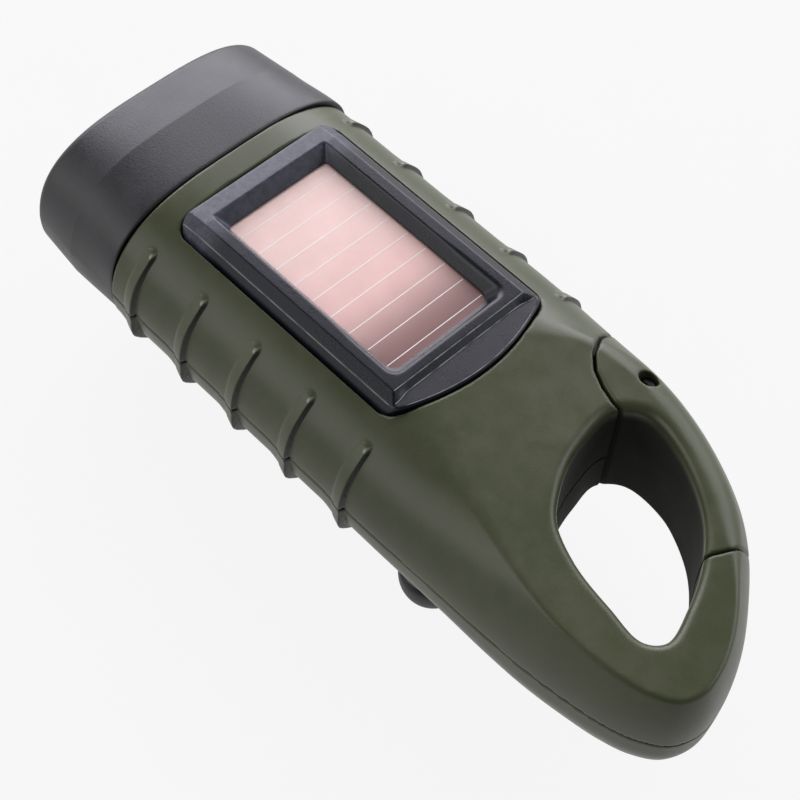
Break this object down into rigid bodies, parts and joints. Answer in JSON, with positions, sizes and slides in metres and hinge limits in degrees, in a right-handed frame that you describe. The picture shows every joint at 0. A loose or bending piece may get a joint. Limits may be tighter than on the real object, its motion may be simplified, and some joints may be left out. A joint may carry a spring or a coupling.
{
  "type": "hand crank flashlight",
  "caption": "Pocket flashlight with a fold-flat hand crank under its body, a solar panel on top and a carabiner tail with a sprung gate.",
  "frame": {"origin": "middle of the bounding box's underside", "axes": "+X along the beam, from the carabiner tail to the head; +Z towards the solar panel; +Y to the left when looking along the beam"},
  "size_m": [0.1364, 0.0542, 0.0407],
  "materials": {
    "green_plastic": "satin moulded plastic, olive green",
    "head_plastic": "fine-grained black moulded plastic",
    "clear_lens": "clear polished plastic",
    "reflector_chrome": "vacuum-metallised",
    "circuit_board": "green lacquered board",
    "lamp_epoxy": "clear epoxy lamp body",
    "bezel_plastic": "semi-gloss blue-black moulded plastic",
    "solar_film": "glossy coated solar film, copper pink",
    "foam": "closed-cell foam tape",
    "steel": "plain steel",
    "black_plastic": "black moulded plastic",
    "nylon": "natural nylon",
    "magnet": "sintered ferrite",
    "copper_wire": "enamelled copper wire",
    "battery_wrap": "shrink-wrapped cells",
    "black_rubber": "matte rubber"
  },
  "bodies": {
    "housing": {"upper_shell": "green_plastic", "lower_shell": "green_plastic", "head_cap": "head_plastic", "lens": "clear_lens", "reflector": "reflector_chrome", "led_board": "circuit_board", "led_1": "lamp_epoxy", "led_2": "lamp_epoxy", "led_3": "lamp_epoxy", "solar_bezel": "bezel_plastic", "solar_panel": "solar_film", "panel_pad": "foam", "gate_pin": "steel", "housing_screw_1": "steel", "housing_screw_2": "steel", "housing_screw_3": "steel", "housing_screw_4": "steel", "housing_screw_5": "steel", "crank_bush": "nylon", "idler_axle_1": "steel", "idler_axle_2": "steel", "gear_plate": "nylon", "plate_screw_1": "steel", "plate_screw_2": "steel", "plate_screw_3": "steel", "plate_screw_4": "steel", "stator_can": "steel", "stator_coil": "copper_wire", "battery": "battery_wrap", "battery_cradle": "nylon", "main_board": "circuit_board", "tact_switch": "black_plastic", "switch_board": "circuit_board"},
    "gate": {"carabiner_gate": "green_plastic", "gate_spring": "steel"},
    "crank": {"crank_arm": "green_plastic", "crank_screw": "steel", "crank_shaft": "steel", "crank_gear": "nylon", "knob_pin": "steel"},
    "knob": {"crank_knob": "black_plastic"},
    "first_idler": {"idler_gear_1": "nylon"},
    "second_idler": {"idler_gear_2": "nylon"},
    "rotor": {"rotor_shaft": "steel", "rotor_pinion": "nylon", "rotor_magnet": "magnet"},
    "button": {"switch_button": "black_rubber", "switch_plunger": "black_plastic"}
  },
  "joints": [
    {"name": "gate_hinge", "type": "hinge", "parent": "housing", "child": "gate", "pos_m": [-0.0268, -0.018, 0.01], "axis": [0, 0, -1], "range_deg": [0, 25], "stiffness_Nm_per_rad": 0.06, "springref_deg": -14.32},
    {"name": "crank_spin", "type": "hinge", "parent": "housing", "child": "crank", "pos_m": [0.0094, 0, 0.01], "axis": [0, 0, 1], "continuous": true},
    {"name": "knob_spin", "type": "hinge", "parent": "crank", "child": "knob", "pos_m": [-0.01681, 0.01459, 0.01], "axis": [0, 0, 1], "continuous": true},
    {"name": "first_idler_spin", "type": "hinge", "parent": "housing", "child": "first_idler", "pos_m": [0.02239, 0.0075, 0.01], "axis": [0, 0, 1], "continuous": true},
    {"name": "second_idler_spin", "type": "hinge", "parent": "housing", "child": "second_idler", "pos_m": [0.0325, -0.00098, 0.01], "axis": [0, 0, 1], "continuous": true},
    {"name": "rotor_spin", "type": "hinge", "parent": "housing", "child": "rotor", "pos_m": [0.02394, -0.0094, 0.01], "axis": [0, 0, 1], "continuous": true},
    {"name": "button_press", "type": "slide", "parent": "housing", "child": "button", "axis": [0, 0, 1], "range_m": [0, 0.0005], "stiffness_N_per_m": 400, "springref_m": -0.0005}
  ],
  "couplings": [
    {"joint": "first_idler_spin", "follows": "crank_spin", "ratio": -4},
    {"joint": "second_idler_spin", "follows": "crank_spin", "ratio": 13.6},
    {"joint": "rotor_spin", "follows": "crank_spin", "ratio": -40.8}
  ]
}
